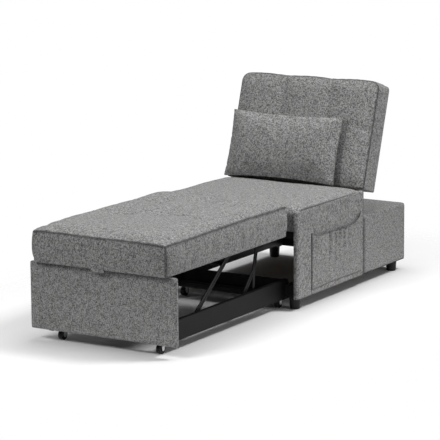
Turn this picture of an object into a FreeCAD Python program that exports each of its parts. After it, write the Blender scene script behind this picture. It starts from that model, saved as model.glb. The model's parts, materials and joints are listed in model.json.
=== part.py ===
import FreeCAD, Part
import math
import os

# Convertible chair bed, opened out: a seat body on legs, a backrest on toothed hinges that folds
# down over a low rear box, and a rolling tray that carries a foot pad on a lift linkage.
# Millimetres. X runs across the seat, +Y to the rear, +Z up, with the floor at Z = 0.

# Seat body and rear box
BODY_W = 640.0
SEAT_DEPTH = 537.0
REAR_BOX_DEPTH = 362.0
BOARD_T = 14.0
SIDE_COVER_T = 6.0
REAR_COVER_T = 3.0
CLOTH_T = 3.0
SEAT_STEP_H = 18.0
SEAT_FOAM_T = 85.0
SEAT_BORDER = 8.0
SEAT_CROWN = 9.0
SEAT_SEAM_FALL = 3.0
SEAT_BULGE = 1.0
SEAT_NOSE_RAKE = 39.0
REAR_BOX_H = 282.0
DECK_T = 12.0
DECK_PAD_T = 8.0
RAIL_T = 20.0
RAIL_H = 28.0

# Legs
LEG_H = 45.0
LEG_TOP_R = 22.5
LEG_FOOT_R = 20.0
LEG_INSET_X = 41.0
LEG_INSET_Y = 49.0
GLIDE_T = 3.0
GLIDE_R = 17.0
BLOCK_W = 44.0
BLOCK_H = 50.0
LEG_STUD_R = 4.0
LEG_STUD_LEN = 32.0

# Seat springs
SPRING_COUNT = 3
SPRING_RUNS = 7
SPRING_WIRE_R = 1.9
SPRING_SIDES = 4
SPRING_STRAIGHT = 26.0
SPRING_PITCH_X = 150.0
SPRING_DROP = 3.0
CLIP_W = 18.0
CLIP_REACH = 14.0
CLIP_T = 4.0

# Side pocket
POCKET_Y0 = 104.0
POCKET_LEN = 404.0
POCKET_Z0 = 64.0
POCKET_H = 226.0
POCKET_SAG = 14.0
POCKET_DEPTH = 8.0
POCKET_CLOTH = 2.0

# Backrest
BACK_LEN = 441.0
BACK_T = 98.0
BACK_CROWN = 7.0
BACK_TOP_TUCK = 20.0
BACK_CHANNELS = 3
BACK_RECLINE = 72.0
HINGE_BACK_GAP = 15.0
HINGE_TO_FACE = 21.0
HINGE_BEHIND_SEAT = 9.0
HINGE_RISE_H = 92.0
BACK_WALL = 12.0
BACK_FACE_WALL = 5.0
BACK_FOAM_T = 50.0
STILE_W = 28.0
STILE_T = 28.0
PANEL_T = 10.0

# Toothed hinges
PLATE_T = 4.0
EAR_R = 13.0
ARM_R = 8.0
HINGE_PIN_R = 4.0
HINGE_HEAD_R = 6.5
HINGE_HEAD_T = 2.5
NOTCH_R = 1.8
NOTCH_COUNT = 5
NOTCH_FIRST = -10.0
NOTCH_STEP = 16.0
PAWL_R = 2.4
HINGE_FOOT_H = 62.0
HINGE_FOOT_W = 28.0
HINGE_FOOT_T = 3.0
HINGE_ARM_LEN = 60.0
HINGE_ARM_W = 16.0

# Rolling tray
PAD_REACH = 885.0
PANEL_SETBACK = 24.0
PANEL_SIDE_GAP = 1.5
PANEL_Z0 = 42.5
PANEL_BOARD_T = 15.0
RAIL_SIDE_GAP = 90.0
TRAY_RAIL_T = 18.0
TRAY_RAIL_Z0 = 38.0
TRAY_RAIL_H = 75.0
TRAY_TAIL = 50.0
BEAM_Z0 = 45.0
BEAM_FLANGE = 62.0
BEAM_T = 18.0
REAR_BEAM_H = 65.0
FRONT_BEAM_H = 50.0
GUIDE_GAP = 0.3
GUIDE_Z0 = 55.0
GUIDE_H = 40.0

# Casters
WHEEL_R = 19.0
WHEEL_W = 18.0
WHEEL_RAIL_GAP = 16.0
CASTER_INSET = 37.0
HUB_R = 8.0
HUB_PROUD = 1.0
AXLE_R = 3.0
CHEEK_T = 2.0
CHEEK_GAP = 1.0
CASTER_PLATE_T = 2.0
CASTER_PLATE_L = 46.0

# Cushion edges
SIDE_BULGE = 2.0
EDGE_TUCK = 4.0
BASE_LIFT = 3.0
END_CROWN = 1.0
CHANNEL_SHARE = 0.45

# Foot pad
PAD_SIDE_GAP = 28.0
PAD_REAR_GAP = 26.0
PAD_BASE_H = 15.0
PAD_BORDER_H = 118.0
PAD_CROWN = 15.0
PAD_FOAM_T = 91.0
PAD_WALL = 12.0
PAD_EDGE = 8.0
ROLL_DEPTH = 45.0
TUFT_R = 26.0
TUFT_BUTTON_R = 6.0
TUFT_SINK = 6.0
TUFT_SIDES = 8
TUFT_PITCH = 150.0
TUFT_ROWS = [0.45, 0.79]
PULL_TAB_W = 58.0
PULL_TAB_H = 14.0
PULL_TAB_T = 2.0

# Lift linkage
ARM_RAIL_GAP = 10.0
ARM_T = 4.0
ARM_W = 20.0
ARM_GROOVE_W = 7.0
ARM_GROOVE_D = 1.5
ARM_GROOVE_END = 24.0
ARM_PIN_R = 5.0
PIN_HEAD_R = 8.0
PIN_HEAD_T = 3.0
FRONT_ARM_LEN = 300.0
FRONT_ARM_ANGLE = 36.87
FRONT_PIVOT_Y = 590.0
FRONT_PIVOT_Z = 95.0
REAR_ARM_LEN = 203.6
REAR_ARM_ANGLE = 59.3
REAR_PIVOT_Y = 247.0
REAR_PIVOT_Z = 100.0
LIFT_SWING = 35.0
ELBOW_Y = 83.0
ELBOW_Z = 89.0
TOE_Y = 77.0
TOE_Z = 22.0
TOE_W = 14.0
TIE_R = 8.0
TIE_FROM_PIN = 40.0
EAR_SPREAD = 36.0
FLANGE_W = 28.0
FLANGE_T = 3.0
SLOT_MARGIN = 13.0
SCREW_R = 3.8
SCREW_HEAD_T = 2.0

# Lumbar pillow
PILLOW_W = 488.0
PILLOW_H = 280.0
PILLOW_T = 84.0
PILLOW_EDGE = 6.0
PILLOW_SHIFT_X = -38.0
PILLOW_BASE = -8.0
PILLOW_NESTLE = 0.8

# Clearances
TOUCH = 0.3
CUT_OVER = 1.0
RUN_FIT = 0.05
SLOT_FIT = 0.4

# Places worked out from the sizes above
SEAT_DECK_Z = REAR_BOX_H + SEAT_STEP_H
HINGE_Z = REAR_BOX_H + HINGE_RISE_H
PAD_Z0 = REAR_BOX_H + PAD_BASE_H
PAD_SEAM_Z = PAD_Z0 + PAD_BORDER_H
HALF_W = BODY_W / 2
BACK_W = BODY_W
PANEL_W = BODY_W - 2 * PANEL_SIDE_GAP
PAD_W = BODY_W - 2 * PAD_SIDE_GAP
RAIL_INNER_X = HALF_W - RAIL_SIDE_GAP
WHEEL_X = RAIL_INNER_X - WHEEL_RAIL_GAP
ARM_X = RAIL_INNER_X - ARM_RAIL_GAP
FRONT_Y = (PAD_REACH - SEAT_DEPTH - REAR_BOX_DEPTH) / 2
REAR_Y = FRONT_Y + SEAT_DEPTH + REAR_BOX_DEPTH
SEAT_REAR_Y = FRONT_Y + SEAT_DEPTH
BOARD_OUT = HALF_W - SIDE_COVER_T
BOARD_IN = BOARD_OUT - BOARD_T
REAR_OUT = BOARD_OUT + REAR_COVER_T
BACK_BOARD_Y1 = SEAT_REAR_Y - CLOTH_T
BACK_BOARD_Y0 = BACK_BOARD_Y1 - BOARD_T
REAR_DECK_Z = REAR_BOX_H - DECK_PAD_T - DECK_T
SEAT_FOAM_TOP = SEAT_DECK_Z + SEAT_FOAM_T
HINGE_Y = SEAT_REAR_Y + HINGE_BEHIND_SEAT
BACK_Y0 = HINGE_Y + HINGE_BACK_GAP
BACK_FACE_Z = HINGE_Z + HINGE_TO_FACE
BACK_REAR_Z = BACK_FACE_Z - BACK_T
PANEL_FRONT_Y = FRONT_Y - PAD_REACH + PANEL_SETBACK
PANEL_REAR_Y = PANEL_FRONT_Y + CLOTH_T + PANEL_BOARD_T
PAD_FRONT_Y = FRONT_Y - PAD_REACH
PAD_REAR_Y = FRONT_Y - PAD_REAR_GAP
ROLL_REAR_Y = PAD_FRONT_Y + ROLL_DEPTH
TRAY_END_Y = FRONT_Y + TRAY_TAIL
CASTER_YS = [PANEL_REAR_Y + CASTER_INSET, TRAY_END_Y - CASTER_INSET / 2]
FRONT_RAIL_Y = FRONT_Y + SEAT_NOSE_RAKE + CLOTH_T


def vec(x, y, z):
    return FreeCAD.Vector(x, y, z)


def block(x0, x1, y0, y1, z0, z1):
    return Part.makeBox(x1 - x0, y1 - y0, z1 - z0, vec(x0, y0, z0))


def side_plate(outline, x0, x1):
    points = [vec(x0, y, z) for y, z in outline]
    wire = Part.makePolygon(points + points[:1])
    return Part.Face(wire).extrude(vec(x1 - x0, 0, 0))


def rod_x(y, z, radius, x0, x1):
    return Part.makeCylinder(radius, x1 - x0, vec(x0, y, z), vec(1, 0, 0))


def post(x, y, z0, z1, radius):
    return Part.makeCylinder(radius, z1 - z0, vec(x, y, z0), vec(0, 0, 1))


def mirrored(shape):
    return shape.mirror(vec(0, 0, 0), vec(1, 0, 0))


def group(shapes):
    return Part.makeCompound(shapes)


def pair(shape):
    return group([shape, mirrored(shape)])


def save(name, shape):
    shape.exportStep("parts/" + name + ".step")


def save_pair(name, shape):
    save(name + "_right", shape)
    save(name + "_left", mirrored(shape))


def flat_bar(start, end, width, x0, x1):
    length = math.hypot(end[0] - start[0], end[1] - start[1])
    along = ((end[0] - start[0]) / length, (end[1] - start[1]) / length)
    half = width / 2
    across = (-along[1] * half, along[0] * half)
    ahead = (along[0] * half, along[1] * half)
    p1 = vec(x0, start[0] + across[0], start[1] + across[1])
    p2 = vec(x0, end[0] + across[0], end[1] + across[1])
    p3 = vec(x0, end[0] + ahead[0], end[1] + ahead[1])
    p4 = vec(x0, end[0] - across[0], end[1] - across[1])
    p5 = vec(x0, start[0] - across[0], start[1] - across[1])
    p6 = vec(x0, start[0] - ahead[0], start[1] - ahead[1])
    edges = [
        Part.LineSegment(p1, p2).toShape(),
        Part.Arc(p2, p3, p4).toShape(),
        Part.LineSegment(p4, p5).toShape(),
        Part.Arc(p5, p6, p1).toShape(),
    ]
    return Part.Face(Part.Wire(edges)).extrude(vec(x1 - x0, 0, 0))


# Cushion forms: each station is (y, half width, base z, seam z, crown)
def cushion_section(station, channels, side_bulge):
    y, half, base, seam, crown = station
    middle = (base + seam) / 2
    edges = [Part.LineSegment(vec(-half, y, base), vec(half, y, base)).toShape()]
    right = Part.Arc(vec(half, y, base), vec(half + side_bulge, y, middle), vec(half, y, seam))
    edges.append(right.toShape())
    step = 2 * half / channels
    for i in range(channels):
        x0 = half - i * step
        x1 = x0 - step
        lift0 = crown * CHANNEL_SHARE if i > 0 else 0.0
        lift1 = crown * CHANNEL_SHARE if i < channels - 1 else 0.0
        top = vec((x0 + x1) / 2, y, seam + crown)
        edges.append(Part.Arc(vec(x0, y, seam + lift0), top, vec(x1, y, seam + lift1)).toShape())
    left = Part.Arc(vec(-half, y, seam), vec(-half - side_bulge, y, middle), vec(-half, y, base))
    edges.append(left.toShape())
    return Part.Wire(edges)


def cushion(front, body, rear, channels, side_bulge):
    ends = [front + body[:1], body[-1:] + rear]
    pieces = [Part.makeLoft([cushion_section(s, channels, side_bulge) for s in body], True, False)]
    for end in ends:
        for pair in zip(end, end[1:]):
            wires = [cushion_section(s, channels, side_bulge) for s in pair]
            pieces.append(Part.makeLoft(wires, True, True))
    return pieces[0].fuse(pieces[1:]).removeSplitter()


# Seat body
def side_board():
    outline = [
        (FRONT_Y + CLOTH_T, LEG_H),
        (REAR_Y - CLOTH_T, LEG_H),
        (REAR_Y - CLOTH_T, REAR_DECK_Z),
        (BACK_BOARD_Y1, REAR_DECK_Z),
        (BACK_BOARD_Y1, SEAT_DECK_Z),
        (FRONT_Y + CLOTH_T, SEAT_DECK_Z),
    ]
    return side_plate(outline, BOARD_IN, BOARD_OUT)


def side_cover():
    seat_part = block(BOARD_OUT, HALF_W, FRONT_Y, SEAT_REAR_Y, LEG_H, SEAT_FOAM_TOP)
    deck_z = REAR_BOX_H - DECK_PAD_T
    rear_part = block(BOARD_OUT, REAR_OUT, SEAT_REAR_Y, REAR_Y, LEG_H, deck_z)
    edging = block(BOARD_IN, BOARD_OUT, FRONT_Y, FRONT_Y + CLOTH_T, LEG_H, SEAT_FOAM_TOP)
    cover = seat_part.fuse([rear_part, edging]).removeSplitter()
    return cover


def side_foam():
    y0 = FRONT_Y + CLOTH_T
    return block(BOARD_IN, BOARD_OUT, y0, BACK_BOARD_Y1, SEAT_DECK_Z, SEAT_FOAM_TOP)


def nose_edge(offset):
    top = vec(-BOARD_IN, FRONT_Y + offset, SEAT_FOAM_TOP)
    middle_z = SEAT_DECK_Z + SEAT_FOAM_T * 0.56
    middle = vec(-BOARD_IN, FRONT_Y + offset + SEAT_NOSE_RAKE * 0.60, middle_z)
    low = vec(-BOARD_IN, FRONT_Y + offset + SEAT_NOSE_RAKE, SEAT_DECK_Z)
    return Part.Arc(top, middle, low).toShape(), top, low


def across_seat(edges):
    return Part.Face(Part.Wire(edges)).extrude(vec(2 * BOARD_IN, 0, 0))


def seat_foam():
    nose, top, low = nose_edge(CLOTH_T)
    rear_low = vec(-BOARD_IN, BACK_BOARD_Y0, SEAT_DECK_Z)
    rear_top = vec(-BOARD_IN, BACK_BOARD_Y0, SEAT_FOAM_TOP)
    lines = [(low, rear_low), (rear_low, rear_top), (rear_top, top)]
    return across_seat([nose] + [Part.LineSegment(a, b).toShape() for a, b in lines])


def seat_front_cover():
    inner, inner_top, inner_low = nose_edge(CLOTH_T)
    outer, outer_top, outer_low = nose_edge(0.0)
    top = Part.LineSegment(inner_top, outer_top).toShape()
    low = Part.LineSegment(outer_low, inner_low).toShape()
    return across_seat([inner, low, outer, top])


def seat_top_cover():
    base = SEAT_FOAM_TOP
    seam = base + SEAT_BORDER
    half = HALF_W - SEAT_BULGE
    middle = FRONT_Y + SEAT_DEPTH / 2
    front = [(FRONT_Y, half - BASE_LIFT, base, seam, END_CROWN)]
    body = [
        (FRONT_Y + PAD_EDGE, half, base, seam + SEAT_SEAM_FALL, SEAT_CROWN / 2),
        (middle, half, base, seam, SEAT_CROWN),
        (SEAT_REAR_Y - 4 * PAD_EDGE, half, base, seam - SEAT_SEAM_FALL, SEAT_CROWN / 2),
    ]
    rear = [(SEAT_REAR_Y, half - BASE_LIFT, base, base + SEAT_BULGE, END_CROWN)]
    return cushion(front, body, rear, 1, SEAT_BULGE)


def seat_front_rail():
    y1 = FRONT_RAIL_Y + RAIL_T
    return block(-BOARD_IN, BOARD_IN, FRONT_RAIL_Y, y1, SEAT_DECK_Z - RAIL_H, SEAT_DECK_Z)


def seat_back_board():
    z0 = REAR_DECK_Z
    return block(-BOARD_IN, BOARD_IN, BACK_BOARD_Y0, BACK_BOARD_Y1, z0, SEAT_FOAM_TOP)


def seat_rear_cover():
    return block(-BOARD_OUT, BOARD_OUT, BACK_BOARD_Y1, SEAT_REAR_Y, REAR_BOX_H, SEAT_FOAM_TOP)


SPRING_Z = SEAT_DECK_Z - SPRING_DROP
SPRING_Y0 = FRONT_RAIL_Y + RAIL_T + CLIP_REACH / 2
SPRING_Y1 = BACK_BOARD_Y0 - CLIP_REACH / 2
SPRING_BEND = (SPRING_Y1 - SPRING_Y0) / (SPRING_RUNS - 1) / 2
SPRING_XS = [(i - (SPRING_COUNT - 1) / 2) * SPRING_PITCH_X for i in range(SPRING_COUNT)]


def seat_spring(x):
    edges = []
    side = 1
    for run in range(SPRING_RUNS):
        y = SPRING_Y0 + 2 * SPRING_BEND * run
        near = vec(x - side * SPRING_STRAIGHT / 2, y, SPRING_Z)
        far = vec(x + side * SPRING_STRAIGHT / 2, y, SPRING_Z)
        edges.append(Part.LineSegment(near, far).toShape())
        if run < SPRING_RUNS - 1:
            outer = vec(far.x + side * SPRING_BEND, y + SPRING_BEND, SPRING_Z)
            following = vec(far.x, y + 2 * SPRING_BEND, SPRING_Z)
            edges.append(Part.Arc(far, outer, following).toShape())
        side = -side
    start = vec(x - SPRING_STRAIGHT / 2, SPRING_Y0, SPRING_Z)
    corners = []
    for i in range(SPRING_SIDES + 1):
        turn = 2 * math.pi * (i + 0.5) / SPRING_SIDES
        corners.append(start + vec(0, SPRING_WIRE_R * math.cos(turn), SPRING_WIRE_R * math.sin(turn)))
    profile = Part.makePolygon(corners)
    sweep = Part.BRepOffsetAPI.MakePipeShell(Part.Wire(edges))
    sweep.add(profile)
    sweep.build()
    sweep.makeSolid()
    return sweep.shape()


def spring_clips():
    top = SPRING_Z - SPRING_WIRE_R - RUN_FIT
    clips = []
    for x in SPRING_XS:
        y0 = FRONT_RAIL_Y + RAIL_T
        clips.append(block(x - CLIP_W / 2, x + CLIP_W / 2, y0, y0 + CLIP_REACH, top - CLIP_T, top))
        y1 = BACK_BOARD_Y0
        clips.append(block(x - CLIP_W / 2, x + CLIP_W / 2, y1 - CLIP_REACH, y1, top - CLIP_T, top))
    return group(clips)


def rear_board():
    y1 = REAR_Y - CLOTH_T
    return block(-BOARD_IN, BOARD_IN, y1 - BOARD_T, y1, LEG_H, REAR_DECK_Z)


def rear_deck_board():
    z1 = REAR_DECK_Z + DECK_T
    return block(-BOARD_OUT, BOARD_OUT, BACK_BOARD_Y1, REAR_Y - CLOTH_T, REAR_DECK_Z, z1)


def rear_cover():
    z1 = REAR_BOX_H - DECK_PAD_T
    return block(-BOARD_OUT, BOARD_OUT, REAR_Y - CLOTH_T, REAR_Y, LEG_H, z1)


def rear_deck_pad():
    z0 = REAR_BOX_H - DECK_PAD_T
    pad = block(-REAR_OUT, REAR_OUT, SEAT_REAR_Y, REAR_Y, z0, REAR_BOX_H)
    tops = [e for e in pad.Edges if min(v.Z for v in e.Vertexes) > REAR_BOX_H - TOUCH]
    rounded = [e for e in tops if max(v.Y for v in e.Vertexes) > REAR_Y - TOUCH]
    return pad.makeFillet(DECK_PAD_T / 2, rounded)


LEG_X = HALF_W - LEG_INSET_X
LEG_YS = [FRONT_Y + LEG_INSET_Y, REAR_Y - LEG_INSET_Y]


def leg(x, y):
    body = Part.makeCone(LEG_FOOT_R, LEG_TOP_R, LEG_H - GLIDE_T, vec(x, y, GLIDE_T), vec(0, 0, 1))
    stud = post(x, y, LEG_H, LEG_H + LEG_STUD_LEN, LEG_STUD_R)
    return body.fuse(stud)


def legs():
    return group([leg(side * LEG_X, y) for side in (-1, 1) for y in LEG_YS])


def leg_glides():
    return group([post(side * LEG_X, y, 0.0, GLIDE_T, GLIDE_R) for side in (-1, 1) for y in LEG_YS])


def corner_blocks():
    blocks = []
    for side in (-1, 1):
        for y in LEG_YS:
            x0 = min(side * BOARD_IN, side * (BOARD_IN - BLOCK_W))
            y0 = y - BLOCK_W / 2
            body = block(x0, x0 + BLOCK_W, y0, y0 + BLOCK_W, LEG_H, LEG_H + BLOCK_H)
            hole_top = LEG_H + LEG_STUD_LEN + TOUCH
            hole = post(side * LEG_X, y, LEG_H, hole_top, LEG_STUD_R + RUN_FIT)
            blocks.append(body.cut(hole))
    return group(blocks)


def tray_guide():
    x1 = BOARD_IN - BLOCK_W
    x0 = RAIL_INNER_X + TRAY_RAIL_T + GUIDE_GAP
    y0 = LEG_YS[0] - BLOCK_W / 2
    y1 = LEG_YS[1] + BLOCK_W / 2
    return block(x0, x1, y0, y1, GUIDE_Z0, GUIDE_Z0 + GUIDE_H)


def side_pocket():
    inner_x = HALF_W + POCKET_DEPTH - POCKET_CLOTH
    outer_x = HALF_W + POCKET_DEPTH
    y0 = POCKET_Y0 + FRONT_Y
    y1 = y0 + POCKET_LEN
    z1 = POCKET_Z0 + POCKET_H
    corners = [vec(HALF_W, y0, z1), vec(HALF_W, y0, POCKET_Z0), vec(HALF_W, y1, POCKET_Z0)]
    corners.append(vec(HALF_W, y1, z1))
    lines = [Part.LineSegment(corners[i], corners[i + 1]).toShape() for i in range(3)]
    dip = vec(HALF_W, (y0 + y1) / 2, z1 - POCKET_SAG)
    mouth = Part.Arc(corners[3], dip, corners[0]).toShape()
    outer = Part.Face(Part.Wire(lines + [mouth])).extrude(vec(POCKET_DEPTH, 0, 0))
    rim = POCKET_CLOTH
    hollow = block(HALF_W, inner_x, y0 + rim, y1 - rim, POCKET_Z0 + rim, z1 + rim)
    return outer.cut(hollow)


# Backrest, drawn folded flat behind the seat and then turned up on its hinges
def raise_back(shape):
    turned = shape.copy()
    turned.rotate(vec(0, HINGE_Y, HINGE_Z), vec(1, 0, 0), BACK_RECLINE)
    return turned


FOAM_Z1 = BACK_FACE_Z - BACK_FACE_WALL
FOAM_Z0 = FOAM_Z1 - BACK_FOAM_T
STILE_Z0 = FOAM_Z0 - STILE_T
PANEL_Z1 = STILE_Z0
INNER_Y0 = BACK_Y0 + BACK_WALL
INNER_Y1 = BACK_Y0 + BACK_LEN - BACK_WALL
INNER_X = BACK_W / 2 - BACK_WALL
HINGE_ARM_X1 = INNER_X - STILE_W
HINGE_ARM_X0 = HINGE_ARM_X1 - PLATE_T
HINGE_EAR_X1 = HINGE_ARM_X0 - TOUCH
HINGE_EAR_X0 = HINGE_EAR_X1 - PLATE_T
ARM_LINE_Z = STILE_Z0 + STILE_T / 2


def back_form():
    half = BACK_W / 2 - SIDE_BULGE
    end_y = BACK_Y0 + BACK_LEN
    base = BACK_REAR_Z
    seam = BACK_FACE_Z
    front = [(BACK_Y0, half - EDGE_TUCK, base + BASE_LIFT, seam - BASE_LIFT, END_CROWN)]
    body = [
        (BACK_Y0 + PAD_EDGE, half, base, seam, BACK_CROWN / 2),
        (BACK_Y0 + BACK_LEN / 2, half, base, seam, BACK_CROWN),
        (end_y - 3 * PAD_EDGE, half, base, seam, BACK_CROWN * 3 / 4),
    ]
    rear = [
        (end_y - PAD_EDGE, half - EDGE_TUCK, base, seam, BACK_CROWN / 2),
        (end_y, half - BACK_TOP_TUCK, base + BASE_LIFT, seam - EDGE_TUCK, END_CROWN),
    ]
    return cushion(front, body, rear, BACK_CHANNELS, SIDE_BULGE)


def back_cover():
    cavity = block(-INNER_X, INNER_X, INNER_Y0, INNER_Y1, BACK_REAR_Z - CUT_OVER, FOAM_Z1)
    half_slot = HINGE_ARM_W / 2 + TOUCH
    cover = back_form().cut(cavity)
    for side in (-1, 1):
        x0 = min(side * (HINGE_ARM_X0 - TOUCH), side * (HINGE_ARM_X1 + TOUCH))
        x1 = max(side * (HINGE_ARM_X0 - TOUCH), side * (HINGE_ARM_X1 + TOUCH))
        z0 = ARM_LINE_Z - half_slot
        slot = block(x0, x1, BACK_Y0 - CUT_OVER, INNER_Y0, z0, ARM_LINE_Z + half_slot)
        cover = cover.cut(slot)
    return cover


def back_foam():
    return block(-INNER_X, INNER_X, INNER_Y0, INNER_Y1, FOAM_Z0, FOAM_Z1)


def back_stiles():
    return pair(block(INNER_X - STILE_W, INNER_X, INNER_Y0, INNER_Y1, STILE_Z0, FOAM_Z0))


def back_rails():
    half = HINGE_ARM_X0
    low = block(-half, half, INNER_Y0, INNER_Y0 + STILE_W, STILE_Z0, FOAM_Z0)
    inner = INNER_X - STILE_W
    high = block(-inner, inner, INNER_Y1 - STILE_W, INNER_Y1, STILE_Z0, FOAM_Z0)
    return group([low, high])


def back_panel():
    return block(-INNER_X, INNER_X, INNER_Y0, INNER_Y1, BACK_REAR_Z, STILE_Z0)


# Toothed hinges
def polar(radius, degrees):
    turn = math.radians(degrees)
    return HINGE_Y + radius * math.cos(turn), HINGE_Z + radius * math.sin(turn)


def hinge_base():
    foot_top = HINGE_Z - EAR_R
    foot_x0 = HINGE_EAR_X1 - HINGE_FOOT_W
    foot_y1 = SEAT_REAR_Y + HINGE_FOOT_T
    foot = block(foot_x0, HINGE_EAR_X1, SEAT_REAR_Y, foot_y1, foot_top - HINGE_FOOT_H, foot_top)
    neck_y1 = HINGE_Y - PAWL_R + TOUCH
    neck = block(HINGE_EAR_X0, HINGE_EAR_X1, SEAT_REAR_Y, neck_y1, foot_top - HINGE_FOOT_H, HINGE_Z)
    disc = rod_x(HINGE_Y, HINGE_Z, EAR_R, HINGE_EAR_X0, HINGE_EAR_X1)
    y1 = HINGE_Y + EAR_R
    keep = block(HINGE_EAR_X0, HINGE_EAR_X1, SEAT_REAR_Y, y1, HINGE_Z - EAR_R, HINGE_Z + ARM_R)
    ear = disc.common(keep)
    for i in range(NOTCH_COUNT):
        y, z = polar(EAR_R, NOTCH_FIRST - i * NOTCH_STEP)
        ear = ear.cut(rod_x(y, z, NOTCH_R, HINGE_EAR_X0, HINGE_EAR_X1))
    base = foot.fuse([neck, ear]).removeSplitter()
    return base.cut(rod_x(HINGE_Y, HINGE_Z, HINGE_PIN_R + RUN_FIT, HINGE_EAR_X0, HINGE_EAR_X1))


def hinge_pin():
    x0 = HINGE_EAR_X0 - HINGE_HEAD_T
    x1 = HINGE_ARM_X1 + TOUCH + HINGE_HEAD_T
    shank = rod_x(HINGE_Y, HINGE_Z, HINGE_PIN_R, x0, x1)
    inner_head = rod_x(HINGE_Y, HINGE_Z, HINGE_HEAD_R, x0, HINGE_EAR_X0)
    outer_head = rod_x(HINGE_Y, HINGE_Z, HINGE_HEAD_R, HINGE_ARM_X1 + TOUCH, x1)
    return shank.fuse([inner_head, outer_head]).removeSplitter()


def hinge_arm():
    drop = (HINGE_Y, ARM_LINE_Z)
    upper = flat_bar((HINGE_Y, HINGE_Z), drop, 2 * ARM_R, HINGE_ARM_X0, HINGE_ARM_X1)
    reach = (INNER_Y0 + HINGE_ARM_LEN, ARM_LINE_Z)
    lower = flat_bar(drop, reach, HINGE_ARM_W, HINGE_ARM_X0, HINGE_ARM_X1)
    y, z = polar(EAR_R + TOUCH + PAWL_R, NOTCH_FIRST - BACK_RECLINE)
    pawl = rod_x(y, z, PAWL_R, HINGE_EAR_X0, HINGE_ARM_X0)
    arm = upper.fuse([lower, pawl]).removeSplitter()
    return arm.cut(rod_x(HINGE_Y, HINGE_Z, HINGE_PIN_R + RUN_FIT, HINGE_ARM_X0, HINGE_ARM_X1))


def screw_head(start, axis):
    side_a = vec(0, 0, 1) if axis.z == 0 else vec(1, 0, 0)
    side_b = axis.cross(side_a)
    corners = []
    for i in range(7):
        turn = math.pi * i / 3
        corners.append(start + side_a * (SCREW_R * math.cos(turn)) + side_b * (SCREW_R * math.sin(turn)))
    return Part.Face(Part.makePolygon(corners)).extrude(axis * SCREW_HEAD_T)


def hinge_screws():
    x = (HINGE_EAR_X1 - HINGE_FOOT_W + HINGE_EAR_X0) / 2
    y = SEAT_REAR_Y + HINGE_FOOT_T
    foot_top = HINGE_Z - EAR_R
    zs = (foot_top - 2 * SCREW_R, foot_top - HINGE_FOOT_H + 2 * SCREW_R)
    return group([screw_head(vec(side * x, y, z), vec(0, 1, 0)) for side in (-1, 1) for z in zs])


# Rolling tray
def front_panel_board():
    half = PANEL_W / 2 - CLOTH_T
    y0 = PANEL_FRONT_Y + CLOTH_T
    z1 = PAD_Z0 - TOUCH - CLOTH_T
    return block(-half, half, y0, PANEL_REAR_Y, PANEL_Z0 + CLOTH_T, z1)


def front_panel_cover():
    half = PANEL_W / 2
    outer = block(-half, half, PANEL_FRONT_Y, PANEL_REAR_Y, PANEL_Z0, PAD_Z0 - TOUCH)
    return outer.cut(front_panel_board())


def tray_rail():
    x1 = RAIL_INNER_X + TRAY_RAIL_T
    z1 = TRAY_RAIL_Z0 + TRAY_RAIL_H
    return block(RAIL_INNER_X, x1, PANEL_REAR_Y, TRAY_END_Y, TRAY_RAIL_Z0, z1)


def tray_beam(outer_y, inward, height):
    y0 = min(outer_y, outer_y + inward * BEAM_FLANGE)
    flange = block(-RAIL_INNER_X, RAIL_INNER_X, y0, y0 + BEAM_FLANGE, BEAM_Z0, BEAM_Z0 + BEAM_T)
    w0 = min(outer_y, outer_y + inward * BEAM_T)
    web = block(-RAIL_INNER_X, RAIL_INNER_X, w0, w0 + BEAM_T, BEAM_Z0, BEAM_Z0 + height)
    return flange.fuse(web).removeSplitter()


def caster_fork(x, y):
    half = WHEEL_W / 2 + CHEEK_GAP
    outer = half + CHEEK_T
    plate_z0 = BEAM_Z0 - CASTER_PLATE_T
    y0 = y - CASTER_PLATE_L / 2
    plate = block(x - outer, x + outer, y0, y0 + CASTER_PLATE_L, plate_z0, BEAM_Z0)
    cheeks = []
    for x0 in (x - outer, x + half):
        strap = flat_bar((y, WHEEL_R), (y, plate_z0), 2 * HUB_R, x0, x0 + CHEEK_T)
        keep = block(x0, x0 + CHEEK_T, y - HUB_R, y + HUB_R, 0.0, BEAM_Z0)
        cheeks.append(strap.common(keep))
    axle = rod_x(y, WHEEL_R, AXLE_R, x - half, x + half)
    return plate.fuse(cheeks + [axle]).removeSplitter()


def caster_forks():
    return group([caster_fork(side * WHEEL_X, y) for side in (-1, 1) for y in CASTER_YS])


def caster_screws():
    z = BEAM_Z0 - CASTER_PLATE_T
    reach = CASTER_PLATE_L / 2 - 2 * SCREW_R
    heads = []
    for x in (-WHEEL_X, WHEEL_X):
        for y in CASTER_YS:
            heads += [screw_head(vec(x, y + dy, z), vec(0, 0, -1)) for dy in (-reach, reach)]
    return group(heads)


def caster_wheel(x, y):
    x0 = x - WHEEL_W / 2
    bore = AXLE_R + RUN_FIT
    outline = [
        (x0, bore),
        (x0, HUB_R),
        (x0 + HUB_PROUD, HUB_R),
        (x0 + HUB_PROUD, WHEEL_R),
        (x0 + WHEEL_W - HUB_PROUD, WHEEL_R),
        (x0 + WHEEL_W - HUB_PROUD, HUB_R),
        (x0 + WHEEL_W, HUB_R),
        (x0 + WHEEL_W, bore),
    ]
    points = [vec(px, y, WHEEL_R + r) for px, r in outline]
    face = Part.Face(Part.makePolygon(points + points[:1]))
    return face.revolve(vec(x0, y, WHEEL_R), vec(1, 0, 0), 360)


# Lift linkage: the arms, their pivots on the tray and the brackets under the pad
FRONT_PIVOT = (FRONT_Y - FRONT_PIVOT_Y, FRONT_PIVOT_Z)
REAR_PIVOT = (FRONT_Y - REAR_PIVOT_Y, REAR_PIVOT_Z)
ARM_X1 = ARM_X + ARM_T
BRACKET_X1 = ARM_X - TOUCH
BRACKET_X0 = BRACKET_X1 - PLATE_T


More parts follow.
